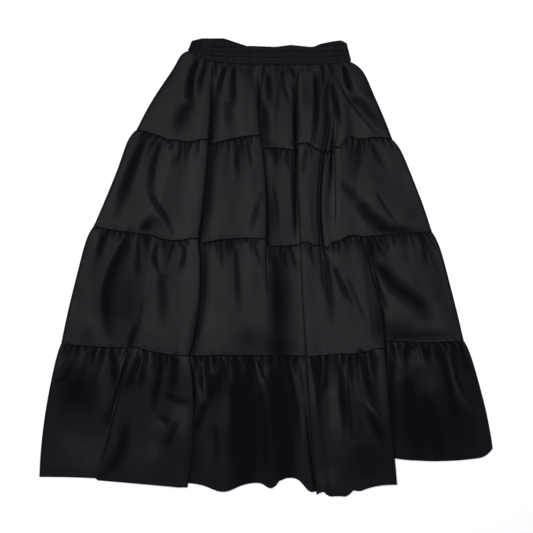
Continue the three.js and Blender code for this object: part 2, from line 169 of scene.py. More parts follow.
def fold(path, width, rise, right=None, matt=None):
    """A crease of the front: the points that it runs through, how far its sides reach, and how high it
    rises, which is negative for a trough. Where the two sides differ, right is the reach on the right
    of a crease that runs down. A ridge that shines has a negative matt."""
    return {
        "path": path,
        "width": width,
        "right": right or width,
        "rise": rise,
        "matt": -TROUGH_MATTNESS * rise if matt is None else matt,
    }


# Main creases of the front
CREASES = [
    # First tier, from left to right
    fold([(-135, 419), (-148, 389), (-153, 365), (-154, 339), (-149, 321)], 4.5, -5.6),
    fold([(-151, 325), (-165, 315), (-176, 280)], 9, -3.6),
    fold([(-119, 419), (-123, 397), (-131, 373), (-133, 349)], 3.2, -3.7),
    fold([(-99, 414), (-102, 396), (-105, 378)], 3.2, -3.4),
    fold([(-81, 403), (-91, 373), (-101, 343)], 3.6, -4.1),
    fold([(-63, 403), (-67, 373), (-65, 343), (-69, 317)], 4, -3.8),
    fold([(-79, 333), (-73, 283)], 8, -2.1),
    fold([(-33, 399), (-25, 363), (-17, 323)], 2.6, -1.7),
    fold([(-3, 408), (-6, 390), (-10, 366)], 3.2, -3.0),
    fold([(4, 388), (5, 365), (8, 328)], 5, -3.9),
    fold([(-8, 323), (-2, 253)], 8, -3.1),
    fold([(31, 397), (35, 357), (49, 333)], 3.2, -2.3),
    fold([(49, 399), (63, 377)], 3.2, -3.1),
    fold([(75, 401), (67, 387)], 2.8, -2.1),
    fold([(59, 371), (61, 313), (65, 263)], 4.5, -3.7),
    fold([(99, 389), (103, 323), (98, 249)], 4, -4.7),
    fold([(107, 391), (109, 325)], 4, -2.1),
    fold([(114, 406), (114, 385), (116, 352)], 3.0, -3.0),
    fold([(127, 375), (120, 343), (122, 283), (113, 239)], 4.5, -4.7),
    fold([(131, 367), (139, 323), (147, 285)], 4.5, -5.3),
    fold([(133, 393), (159, 343), (199, 293), (229, 263)], 3.2, -1.3),
    fold([(155, 403), (163, 373), (173, 351)], 3.6, -4.3),
    fold([(171, 341), (195, 325), (222, 296)], 8, -3.2),
    fold([(-8, 255), (12, 239)], 8, -2.3),
    fold([(53, 255), (61, 239)], 6, -2.1),
    fold([(-108, 408), (-109, 340), (-112, 265)], 2.4, -3.0, matt=0.5),
    # Second tier
    fold([(-110, 248), (-114, 160), (-127, 66)], 8, -1.5, matt=0.7),
    fold([(-241, 263), (-255, 233), (-271, 193), (-287, 153), (-299, 105)], 7, -5.2),
    fold([(-211, 255), (-217, 233), (-227, 203), (-230, 165), (-228, 138)], 5, -3.8),
    fold([(-233, 153), (-219, 123), (-201, 97), (-189, 67)], 4, -2.9),
    fold([(-251, 71), (-239, 87), (-225, 95), (-213, 83)], 6, -2.9),
    fold([(-237, 88), (-235, 70)], 9, -3.1),
    fold([(-187, 247), (-191, 233)], 3, -2.1),
    fold([(-169, 247), (-173, 227), (-179, 207)], 3, -2.9),
    fold([(-151, 247), (-155, 235)], 2.6, -1.8),
    fold([(-55, 249), (-58, 213), (-55, 183)], 4, -3.4),
    fold([(-37, 251), (-33, 223), (-27, 201)], 3, -2.1),
    fold([(-3, 155), (-17, 123), (-27, 73)], 4, -2.9),
    fold([(13, 165), (23, 113), (27, 73)], 3, -1.6),
    fold([(23, 229), (19, 203)], 3.2, -2.6),
    fold([(39, 223), (41, 209)], 2.6, -1.8),
    fold([(53, 229), (57, 173), (61, 83)], 4, -3.1),
    fold([(81, 237), (75, 209), (73, 183)], 4, -3.1),
    fold([(91, 237), (93, 223)], 2.6, -1.8),
    fold([(185, 251), (189, 223), (185, 189)], 5, -2.3),
    fold([(211, 247), (221, 223), (235, 203)], 5, -2.3),
    fold([(149, 168), (172, 150), (190, 132)], 8, -2.4),
    fold([(186, 130), (205, 106), (224, 88), (255, 76)], 9, -4.8),
    fold([(219, 153), (243, 113), (267, 83)], 3.2, -1.6),
    fold([(219, 77), (309, 71)], 7, -3.4),
    # Third tier
    fold([(-125, 50), (-124, -10), (-130, -75), (-146, -135), (-152, -168)], 6, -1.5, matt=0.6),
    fold([(-327, 63), (-329, 43), (-337, 17)], 4.5, -3.6),
    fold([(-277, 67), (-285, 43), (-307, 3), (-323, -51), (-321, -91), (-315, -133)], 5, -6.0, right=15),
    fold([(-255, 57), (-255, 9), (-257, -27)], 4.5, -3.1),
    fold([(-237, 61), (-233, 43)], 3, -2.3),
    fold([(-257, -113), (-271, -155)], 4, -3.4),
    fold([(-215, 47), (-225, 29), (-223, 3), (-213, -15)], 3.4, -3.1),
    fold([(-187, 47), (-193, 23), (-199, 9)], 3.2, -2.6),
    fold([(-165, 47), (-163, 17), (-175, -11)], 3.4, -2.9),
    fold([(-215, -19), (-193, -21)], 5, -1.6),
    fold([(-211, -17), (-209, -63), (-207, -117)], 9, -2.6),
    fold([(-89, 43), (-89, 3)], 3, -2.1),
    fold([(-61, 47), (-59, -7), (-53, -87)], 4.5, -2.6),
    fold([(-23, 45), (-15, 19), (-7, -1)], 3, -2.1),
    fold([(15, 33), (21, -47), (22, -97), (20, -147)], 10, -3.4, right=14),
    fold([(31, 33), (37, 13), (43, -5)], 3, -2.3),
    fold([(51, 37), (57, 13), (61, -5)], 3, -2.3),
    fold([(87, 41), (93, 11), (99, -5)], 3, -1.8),
    fold([(117, 23), (127, -47), (135, -107)], 5, -2.9),
    fold([(135, 3), (159, -53), (169, -75)], 4, -2.6),
    fold([(159, -17), (203, -123)], 3, -1.4),
    fold([(205, 55), (215, 11)], 7, -3.4),
    fold([(221, 53), (227, 33), (235, 27)], 3.4, -3.1),
    fold([(243, 47), (243, 33)], 3, -2.3),
    fold([(215, 8), (235, -10), (253, -32), (285, -58), (313, -76), (322, -95)], 10, -6.0, matt=0.9),
    fold([(219, -47), (231, -67), (239, -87)], 6, -3.1),
    fold([(217, -67), (229, -147)], 7, -2.6),
    fold([(239, -140), (389, -137)], 7, -2.6),
    fold([(313, 61), (323, 7)], 4.5, -2.1),
    # Fourth tier, left side
    fold([(-390, -167), (-417, -192), (-437, -218)], 13, 3.6, matt=-0.6),
    fold([(-424, -232), (-402, -222), (-388, -190)], 5, -3.6),
    fold([(-343, -165), (-347, -201)], 4, -3.0),
    fold([(-307, -165), (-303, -200), (-299, -245)], 6, -5.0),
    # Fourth tier, left front
    fold([(-269, -167), (-281, -197), (-295, -249)], 8.0, 4.2, matt=-0.6),
    fold([(-295, -257), (-305, -317), (-309, -347)], 5.4, 2.2, matt=-0.4),
    fold([(-255, -177), (-267, -213), (-285, -249)], 6, -5.0),
    fold([(-245, -177), (-247, -207)], 6.4, 2.5, matt=-0.5),
    fold([(-239, -171), (-245, -207), (-253, -245)], 4.4, -4.2),
    fold([(-219, -175), (-223, -209)], 6.4, 2.5, matt=-0.5),
    fold([(-207, -179), (-215, -225), (-225, -281)], 5, -5.7),
    fold([(-195, -175), (-199, -213)], 6.4, 2.5, matt=-0.5),
    fold([(-181, -175), (-184, -213), (-187, -253)], 7, -4.6),
    fold([(-201, -251), (-179, -267), (-153, -269)], 6, -3.5),
    fold([(-211, -299), (-199, -307), (-191, -317)], 5, -2.8),
    fold([(-175, -309), (-205, -367)], 7, -3.0),
    fold([(-279, -317), (-291, -377), (-315, -407), (-331, -423)], 9, -5.0),
    # Fourth tier, left centre
    fold([(-139, -183), (-139, -230), (-135, -271)], 6.4, 2.9, matt=-0.7),
    fold([(-131, -191), (-130, -255)], 3.4, -3.0),
    fold([(-126, -203), (-122, -235), (-123, -269)], 7.0, 2.5, matt=-0.6),
    fold([(-113, -183), (-115, -205)], 3, -2.2),
    fold([(-101, -181), (-101, -199)], 3, -2.2),
    fold([(-119, -219), (-109, -223), (-95, -219)], 6, -3.6),
    fold([(-113, -227), (-109, -255), (-115, -273)], 7, -3.6),
    fold([(-87, -185), (-85, -203), (-79, -225)], 5, -3.4),
    fold([(-77, -183), (-73, -207), (-70, -233)], 6.4, 2.7, matt=-0.6),
    fold([(-67, -181), (-63, -207)], 5, -3.2),
    fold([(-121, -271), (-133, -301), (-145, -335)], 7, -4.6),
    fold([(-103, -317), (-97, -357), (-99, -397)], 6, -2.4),
    fold([(-61, -217), (-55, -297), (-49, -413)], 11, -5.4),
    fold([(-35, -197), (-33, -297), (-29, -419)], 9, -4.4),
    fold([(-23, -183), (-13, -217), (1, -257)], 8.0, 2.9, matt=-0.5),
    fold([(-11, -185), (-11, -199)], 3, -2.4),
    fold([(3, -185), (1, -201)], 3, -2.4),
    fold([(-11, -237), (-5, -317), (1, -427)], 8, -3.0),
    # Fourth tier, recess
    fold([(17, -205), (27, -297), (39, -377), (45, -427)], 10, -5.4),
    fold([(39, -181), (57, -257), (67, -339)], 4.4, -4.0),
    fold([(54, -181), (61, -221), (67, -265)], 11.2, 3.1, matt=-0.8),
    # Fourth tier, right centre and right front
    fold([(88, -181), (90, -225), (95, -287)], 9.6, 2.5, matt=-0.6),
    fold([(101, -185), (97, -213)], 3.4, -3.0),
    fold([(107, -193), (105, -235), (107, -295)], 5, -2.6),
    fold([(123, -193), (120, -227), (113, -259)], 4, -3.0),
    fold([(133, -237), (139, -300), (143, -365)], 17.6, 2.5, matt=-0.5),
    fold([(143, -179), (151, -227), (163, -327)], 4.5, -4.6),
    fold([(173, -187), (177, -225), (181, -267)], 8.0, 2.5, matt=-0.6),
    fold([(163, -217), (167, -307), (173, -341), (183, -341), (187, -307)], 3, -2.4),
    fold([(187, -169), (201, -227), (215, -267)], 5.4, -5.4),
    fold([(205, -175), (211, -217)], 6.4, 2.0, matt=-0.4),
    fold([(219, -173), (223, -205)], 4, -3.0),
    fold([(233, -167), (237, -227), (235, -287)], 8.0, 3.1, matt=-0.6),
    fold([(199, -267), (219, -297), (239, -287)], 9.6, 2.7, matt=-0.6),
    fold([(205, -291), (221, -321), (235, -347)], 8, -4.6),
    # Fourth tier, right side
    fold([(247, -171), (249, -257), (257, -337)], 7, -4.0),
    fold([(264, -157), (268, -187), (267, -217)], 12.8, 3.4, matt=-0.9),
    fold([(281, -157), (281, -187)], 5, -3.4),
    fold([(291, -159), (293, -167)], 4, -3.6),
    fold([(309, -155), (313, -175), (319, -191)], 6.4, 2.5, matt=-0.7),
    fold([(323, -157), (325, -187)], 5, -3.4),
    fold([(341, -155), (343, -181)], 4, -3.0),
    fold([(361, -157), (369, -207), (379, -247), (399, -277), (425, -291)], 9.6, 3.1, matt=-0.5),
    fold([(351, -163), (361, -215), (369, -255), (375, -297)], 6, -4.2),
    fold([(389, -157), (397, -187), (413, -213)], 7, -3.2),
    fold([(283, -217), (289, -297), (309, -377)], 12, -4.4),
    fold([(321, -257), (335, -327), (349, -379)], 11, -3.6),
]

# Where the cloth is duller than elsewhere, or brighter where the amount is negative: X and Y of each
# patch's middle, how far it reaches across and along the skirt, and the amount
PATCHES = [
    # First and second tiers
    (-163, 319, 15, 11, 0.2),
    (-177, 285, 11, 20, 0.2),
    (5, 353, 7, 16, 0.15),
    (-6, 285, 9, 30, 0.3),
    (191, 327, 20, 10, 0.1),
    (-237, 81, 15, 10, 0.2),
    (-269, 190, 10, 45, 0.2),
    (-184, 212, 6, 12, 0.3),
    (14, 105, 11, 55, 0.4),
    (262, 75, 45, 8, 0.1),
    # Third tier
    (-318, -85, 18, 55, 0.35),
    (-278, -65, 22, 75, 0.45),
    (-356, -137, 14, 20, 0.3),
    (28, -75, 20, 85, 0.6),
    (22, -162, 26, 24, 0.6),
    (-36, -143, 26, 24, 0.35),
    (207, 33, 13, 26, 0.5),
    (239, -3, 18, 12, 0.15),
    (281, -43, 18, 16, 0.1),
    (307, -77, 18, 18, 0.3),
    (257, -127, 40, 20, 0.5),
    # Fourth tier
    (-376, -250, 38, 38, 0.65),
    (-327, -225, 11, 48, -0.3),
    (-432, -205, 14, 22, -0.4),
    (-316, -303, 10, 12, 0.4),
    (-391, -367, 60, 44, -0.35),
    (-269, -222, 10, 18, 0.4),
    (-216, -317, 14, 12, -0.4),
    (-170, -302, 14, 30, -0.6),
    (-251, -375, 24, 46, -0.2),
    (-226, -366, 18, 18, -0.4),
    (-107, -199, 13, 14, -0.6),
    (-99, -238, 16, 18, 0.5),
    (-76, -280, 12, 44, -0.3),
    (-143, -378, 17, 40, 0.35),
    (-91, -360, 9, 34, -0.15),
    (-43, -325, 30, 115, 0.95),
    (-6, -199, 19, 14, -0.6),
    (34, -330, 25, 115, 0.9),
    (30, -210, 12, 26, 0.4),
    (73, -300, 6, 50, -0.3),
    (172, -205, 44, 40, -0.55),
    (124, -417, 16, 20, -0.4),
    (204, -387, 44, 36, 0.45),
    (296, -310, 48, 80, 0.55),
    (380, -320, 50, 80, 0.45),
    (296, -183, 13, 15, -0.6),
    (329, -232, 20, 22, -0.3),
]
TIER_MATTNESS = [0, 0, 0, 0.35]
MATTNESS_EASE = 70
GATHER_MATTNESS = 0.2

# A crease's course and section: its width and strength change from its start to its end
PATH_ROUNDINGS = 3
CORNER_CUT = 0.25
CREASE_ROUNDNESS = 0.22
SHOULDER = 0.12
SHOULDER_PLACE = 2.2
CREASE_REACH = 5
START_WIDTH = 0.75
END_WIDTH = 1.25
LEAST_STRENGTH = 0.3
START_EASE = 0.15
END_EASE = 0.4
FAR_AWAY = 1e9

# Gathers are troughs. Some are stretched, all lean a little, and each widens and dies away down the tier.
GATHER_STRETCHES = (0.6, 1, 1, 1.5)
GATHER_LEAN = 0.14
GATHER_END = 2.2
GATHER_DECAY = 2.2
GATHER_SPREAD = 0.8

# Gathers along each front seam: how far apart they lie, and how long, deep and wide they are
SHORT_GATHERS = [
    ((14, 28), (8, 22), (0.8, 2.0), (1.8, 2.8)),
    ((8, 14), (8, 24), (1.8, 3.8), (1.9, 3.0)),
    ((8, 14), (8, 26), (1.8, 4.0), (2.0, 3.2)),
    ((11, 20), (14, 42), (2.8, 5.4), (2.2, 3.4)),
]
LONG_GATHERS = [
    ((60, 110), (40, 90), (0.6, 1.4), (2.6, 4.4)),
    ((36, 70), (26, 70), (0.6, 1.6), (2.6, 4.8)),
    ((36, 70), (26, 70), (0.6, 1.6), (2.6, 4.8)),
    ((26, 50), (40, 110), (1.0, 2.4), (3.0, 6)),
]
DRAPES = ((34, 80), (90, 220), (0.4, 1.0), (6, 11))
PUCKERS = ((9, 24), (4, 12), (0.3, 0.8), (1.4, 2.4))
BACK_GATHERS = ((8, 15), (8, 40), (0.3, 0.7), (2, 4))
SWELL = 0.0022
SWELL_LENGTHS = (150, 110, 84, 62, 47, 36)
SWELL_TURN = 0.9
SWELL_STRETCH = 2.7
SWELL_BEND = 0.8

# The topstitching's groove above a seam, and the hem's, below which the cloth is double
STITCH_GROOVE_REACH = 0.9
TOPSTITCH_UP = 4
TOPSTITCH_DEPTH = 0.15
HEM_UP = 10
HEM_DEPTH = 0.3
HEM_RISE = 0.1
HEM_EASE = 2
STITCH_PITCH = 3.2
STITCH_LENGTH = 2.4
STITCH_WIDTH = 0.5
STITCH_RISE = 0.2
STITCH_SINK = 0.1

# The back is smoother: Y of its seams at the left side, in the middle and at the right side
BACK_SEAMS = {
    "seam1": [275, 254, 255],
    "seam2": [82, 62, 71],
    "seam3": [-152, -163, -147],
}
BACK_HEM = [(-453, -417), (-180, -421), (120, -421), (258, -382), (370, -383), (453, -358)]
BACK_INSET = 1.0
BACK_TUCK = 0.5
BACK_EDGE_REACH = 4

# Waistband: the top edge of its front and back halves, and its slanting ends
BAND_FRONT_TOP = [(-148, 436), (-100, 438), (-30, 441), (18, 439), (50, 443), (88, 439), (158, 444)]
BAND_BACK_TOP = [(-148, 452), (-128, 457), (-84, 457), (-48, 445), (-20, 436), (90, 438), (109, 446),
                 (133, 451), (150, 453), (158, 449)]
BAND_LEFT = {"bottom": -153, "top": -147}
BAND_RIGHT = {"bottom": 167, "top": 158}
BAND_COLUMNS = 380
BAND_ROWS = 40
BAND_BEND_COLUMNS = 10
BAND_DEPTH = 32
BAND_GROOVES = [
    {"up": 0.20, "depth": 0.1, "pinch": 0.2, "reach": 0.022},
    {"up": 0.40, "depth": 0.5, "pinch": 0.8, "reach": 0.03},
    {"up": 0.54, "depth": 0.1, "pinch": 0.2, "reach": 0.022},
    {"up": 0.72, "depth": 0.5, "pinch": 0.8, "reach": 0.03},
]
BAND_CLEARANCE = 0.2
BAND_EDGE_LIFT = 0.2
BAND_EDGE_RAMP = 12
CHANNEL_PUFF = 0.5
RIB_LENGTHS = (4.3, 4.9, 7.1)
RIB_BEND_LENGTHS = (17, 29)
SHARED_RIBS = 0.9
OWN_RIBS = 0.25
RIB_STRENGTHS = (0.5, 1)
RIB_PHASES = (0, 6.28)
RIB_HEIGHT = 0.2
RIB_BEND = 0.9
BACK_RIBS = 2.0
LOWEST_RIB = -0.4
BAND_BACK_HEIGHT = 1.2
BAND_FRONT_HEIGHT = 6.2

FRONT_PANEL_COLUMNS = [330, 370, 405, 385]
PLEAT_COLUMNS = 13
BACK_COLUMNS = 170
TIER_START = 1e-9
FINE_ROW = 1.1
COARSE_ROW = 3.4
ROW_EASE = 45
LEAST_COLUMNS = 4
SIDE_CROWDING = 1.25
BACK_CROWDING = 0.4


def mix(low, high, part):
    return low + (high - low) * part


def smooth(part):
    held = np.clip(part, 0, 1)
    return held * held * (3 - 2 * held)


def through(first, middle, last, part):
    """The parabola through a value at the start, halfway and at the end."""
    start = first * (1 - part) * (1 - 2 * part)
    return start + middle * 4 * part * (1 - part) + last * part * (2 * part - 1)


def run_along(steps):
    """How far along a line each of its points lies."""
    return np.concatenate([[0], np.cumsum(steps)])


def tier_of(depth):
    return min(TIERS - 1, int(depth))


def at_depth(values, depth):
    """A table's value at a depth, which counts tiers down from the waist."""
    tier = tier_of(depth)
    return through(values[2 * tier], values[2 * tier + 1], values[2 * tier + 2], depth - tier)


def puff(part, reach):
    """A hump that rises below a seam and dies away down the tier."""
    return (part / reach) * math.exp(1 - part / reach) * (1 - part)


def side_x(side, depth):
    tier = tier_of(depth)
    row = SIDE_PUFFS[tier]
    bulge = row[side] * puff(depth - tier, row["reach_" + side])
    return at_depth(LINE_X[side + "_edge"], depth) + (bulge if side == "right" else -bulge)


def pleat_at(index, depth):
    """What a pleat measures at a depth: its middle, roll and tuck, and the step between its sides."""
    pleat = PLEATS[index]
    roll = at_depth(PLEAT_ROLL, depth)
    overlap = max(0.0, at_depth(pleat["overlap"], depth))
    presence = min(1.0, overlap / roll)
    tuck = (overlap + roll * presence) / 2
    side = 1 if pleat["top"] == "left" else -1
    return {
        "side": side,
        "foot": pleat.get("foot", 1),
        "roll": roll,
        "tuck": tuck,
        "presence": presence,
        "firm": float(smooth(2 * presence - 1)),
        "x": at_depth(LINE_X[pleat["line"]], depth) + side * (roll / 2 * presence - tuck),
        "step": PLEAT_STEP * min(1.0, tuck / FULL_STEP_TUCK),
        "height": PLEAT_MIDDLE + PLAIN_RISE * (1 - presence),
    }


def waist_y(x):
    left = WAIST_LEFT["rise"] * np.exp(-(x - LINE_X["left_edge"][0]) / WAIST_LEFT["reach"])
    right = WAIST_RIGHT["rise"] * np.exp(-(LINE_X["right_edge"][0] - x) / WAIST_RIGHT["reach"])
    return WAIST_LEVEL + left + right


def seam_y(panel, seam, part, waist_x):
    if seam == 0:
        return waist_y(waist_x)
    first, middle, last = PANELS[panel][SEAMS[seam]]
    return through(first, middle, last, part)


def cloth_y(panel, part, depth, x, waist_x):
    """Y of the cloth, with the hem's dips let in down the last tier."""
    tier = tier_of(depth)
    down = depth - tier
    y = mix(seam_y(panel, tier, part, waist_x), seam_y(panel, tier + 1, part, waist_x), down)
    if tier == TIERS - 1:
        for dip in HEM_DIPS:
            y = y - dip["depth"] * np.exp(-(((x - dip["x"]) / dip["reach"]) ** 2)) * down * down
    return y


def trough(across):
    """A trough's section: sharp at the bottom, with soft sides and a faint shoulder."""
    sharp = np.exp(CREASE_ROUNDNESS - np.sqrt(across ** 2 + CREASE_ROUNDNESS ** 2))
    return sharp - SHOULDER * np.exp(-((across - SHOULDER_PLACE) ** 2))


def ridge(across):
    """A ridge's section, with a broad top."""
    return np.exp(-(across ** 4))


def rounded(points):
    """The path through points with its corners cut off, again and again."""
    path = [Vector(point) for point in points]
    for _ in range(PATH_ROUNDINGS):
        cut = [path[0]]
        for start, end in zip(path, path[1:]):
            cut += [start.lerp(end, CORNER_CUT), start.lerp(end, 1 - CORNER_CUT)]
        path = cut + [path[-1]]
    return path


CREASE_PATHS = [rounded(crease["path"]) for crease in CREASES]


def nearest_on_path(path, x, y):
    """Distance of points to a path, how far along it they lie, and whether they are on its right."""
    runs = [(b - a).length for a, b in zip(path, path[1:])]
    nearest = np.full_like(x, FAR_AWAY)
    place = np.zeros_like(x)
    right = np.zeros_like(x, dtype=bool)
    gone = 0.0
    for start, end, run in zip(path, path[1:], runs):
        step = (end - start) / run
        off_x = x - start.x
        off_y = y - start.y
        ahead = np.clip(off_x * step.x + off_y * step.y, 0, run)
        away = np.hypot(off_x - ahead * step.x, off_y - ahead * step.y)
        closer = away < nearest
        nearest = np.where(closer, away, nearest)
        place = np.where(closer, (gone + ahead) / sum(runs), place)
        right = np.where(closer, step.x * off_y - step.y * off_x > 0, right)
        gone += run
    return nearest, place, right


def creases_near(x, y):
    """For each crease that reaches the points: the crease, how far across it they lie, and its fade."""
    for path, crease in zip(CREASE_PATHS, CREASES):
        reach = CREASE_REACH * max(crease["width"], crease["right"])
        heights = [point.y for point in path]
        if max(heights) + reach < y.min() or min(heights) - reach > y.max():
            continue
        nearest, place, right = nearest_on_path(path, x, y)
        width = np.where(right, crease["right"], crease["width"])
        fade = mix(LEAST_STRENGTH, 1, smooth(place / START_EASE) * smooth((1 - place) / END_EASE))
        yield crease, nearest / (width * mix(START_WIDTH, END_WIDTH, place)), fade


def crease_height(x, y):
    """Height that the ridges add at points, and height that the troughs do, which is negative."""
    ridges = np.zeros_like(x)
    cubes = np.zeros_like(x)
    for crease, across, fade in creases_near(x, y):
        if crease["rise"] > 0:
            ridges += crease["rise"] * ridge(across) * fade
        else:
            shape = -crease["rise"] * trough(across) * fade
            ridges += np.maximum(-shape, 0)
            cubes += np.maximum(shape, 0) ** 3
    return ridges, -np.cbrt(cubes)


def mattness(x, y, plain):
    """How dull the cloth is at points, from 0 where it shines most; plain is its value between folds."""
    matt = np.full_like(x, plain)
    for middle_x, middle_y, wide, long, amount in PATCHES:
        off_x = (x - middle_x) / wide
        off_y = (y - middle_y) / long
        matt += amount * np.exp(-(off_x ** 2) - off_y ** 2)
    for crease, across, fade in creases_near(x, y):
        matt += crease["matt"] * np.exp(-(across ** 2)) * fade
    return np.clip(matt, 0, 1)


def swell_height(x, y, dice):
    """Slow unevenness of the cloth as a few crossing waves."""
    height = np.zeros_like(x)
    for length in SWELL_LENGTHS:
        heading = dice.uniform(-SWELL_TURN, SWELL_TURN)
        phase = dice.uniform(0, 2 * math.pi)
        along = (x * math.cos(heading) + y * math.sin(heading)) * 2 * math.pi / length
        other = (y * math.cos(heading) - x * math.sin(heading)) * 2 * math.pi / (length * SWELL_STRETCH)
        height += SWELL * length * np.sin(along + phase + SWELL_BEND * np.sin(other))
    return height


def gather_set(width, kind, dice):
    """Random troughs along a seam of that width: place, length, depth, lean and width of each."""
    apart, long, deep, wide = kind
    gathers = []
    place = dice.uniform(*apart) / 2
    while place < width:
        gathers.append({
            "place": place,
            "long": dice.uniform(*long) * dice.choice(GATHER_STRETCHES),
            "deep": dice.uniform(*deep),
            "lean": dice.uniform(-GATHER_LEAN, GATHER_LEAN),
            "wide": dice.uniform(*wide),
        })
        place += dice.uniform(*apart)
    return gathers


def gather_height(place, down, gathers):
    """Height of the gathers at a distance from their seam; place is measured along the seam."""
    height = np.zeros_like(place)
    for gather in gathers:
        part = down / gather["long"]
        if part < GATHER_END:
            wide = gather["wide"] * (1 + GATHER_SPREAD * part)
            off = (place - gather["place"] - gather["lean"] * down) / wide
            height -= gather["deep"] * trough(np.abs(off)) * math.exp(-(part ** GATHER_DECAY))
    return height


def panel_span(panel, depth):
    before = pleat_at(panel - 1, depth) if panel > 0 else None
    after = pleat_at(panel, depth) if panel < len(PLEATS) else None
    start_x = before["x"] + before["roll"] if before else side_x("left", depth)
    end_x = after["x"] - after["roll"] if after else side_x("right", depth)
    return before, after, start_x, end_x


def foot_height(away):
    """How far the lower cloth of a pleat has climbed at a distance from the pleat's foot."""
    climb = FOOT_RISE * np.sqrt(np.clip(away / FOOT_REACH, 0, 1)) * smooth(away / FOOT_REACH + FOOT_START)
    return climb - GROOVE_DEPTH * np.exp(-away / GROOVE_REACH) + GROOVE_DEPTH


def panel_row(panel, parts, depth):
    """X, Y, base height and calm of a panel's points on one row."""
    before, after, start_x, end_x = panel_span(panel, depth)
    _, _, waist_start, waist_end = panel_span(panel, 0)
    x = mix(start_x, end_x, parts)
    y = cloth_y(panel, parts, depth, x, mix(waist_start, waist_end, parts))
    tier = tier_of(depth)
    start_height = before["height"] - before["side"] * before["step"] / 2 if before else SIDE_HEIGHT
    end_height = after["height"] + after["side"] * after["step"] / 2 if after else SIDE_HEIGHT
    if before and before["side"] > 0:
        start_height = start_height + foot_height((x - start_x) / before["foot"]) * before["firm"]
    if after and after["side"] < 0:
        end_height = end_height + foot_height((end_x - x) / after["foot"]) * after["firm"]
    height = mix(start_height, end_height, smooth(parts))
    swell = math.sin(math.pi * (depth - tier)) ** 0.5 if depth > tier else 0
    height = height + PANELS[panel]["bulge"][tier] * np.sin(math.pi * parts) * swell
    calm = np.ones_like(parts)
    if before:
        calm = calm * (1 - before["presence"] * np.exp(-(x - start_x) / CREASE_CALM))
    if after:
        calm = calm * (1 - after["presence"] * np.exp(-(end_x - x) / CREASE_CALM))
    return x, y, height, calm


def pleat_row(index, turns, depth):
    """The same for a pleat, whose cloth runs on, back under itself and on again."""
    pleat = pleat_at(index, depth)
    waist = pleat_at(index, 0)
    x = pleat["x"] + pleat["roll"] * turns - pleat["tuck"] * np.sin(math.pi * turns)
    waist_x = waist["x"] + waist["roll"] * turns - waist["tuck"] * np.sin(math.pi * turns)
    before = cloth_y(index, 1.0, depth, x, waist_x)
    after = cloth_y(index + 1, 0.0, depth, x, waist_x)
    y = mix(before, after, smooth(turns + 0.5))
    height = pleat["height"] - pleat["side"] * pleat["step"] * turns / 2
    calm = np.full_like(turns, 1 - pleat["presence"])
    return x, y, height, calm


def front_base(depth, columns):
    """X, Y, base height and calm of the whole front on one row, from left to right."""
    stretches = []
    for panel, parts in enumerate(columns):
        stretches.append(panel_row(panel, parts, depth))
        if panel < len(PLEATS):
            turns = np.linspace(-1, 1, PLEAT_COLUMNS + 2)[1:-1]
            stretches.append(pleat_row(panel, turns, depth))
    return [np.concatenate(values) for values in zip(*stretches)]


def front_columns(tier):
    """Each panel's places across, as many as its width halfway down asks for, closer at the sides."""
    count = FRONT_PANEL_COLUMNS[tier]
    widths = []
    for panel in range(len(PANELS)):
        _, _, start_x, end_x = panel_span(panel, tier + 0.5)
        widths.append(end_x - start_x)
    whole = sum(widths)
    columns = []
    for panel, width in enumerate(widths):
        parts = np.linspace(0, 1, max(LEAST_COLUMNS, round(count * width / whole)))
        if panel == 0:
            parts = parts ** SIDE_CROWDING
        if panel == len(PANELS) - 1:
            parts = 1 - (1 - parts) ** SIDE_CROWDING
        columns.append(parts)
    return columns


def row_places(length):
    """Distances down a tier for its rows, close together at both ends."""
    places = [0.0]
    while places[-1] < length:
        near = min(places[-1], length - places[-1])
        places.append(places[-1] + mix(FINE_ROW, COARSE_ROW, float(smooth(near / ROW_EASE))))
    scale = length / places[-1]
    return [place * scale for place in places]


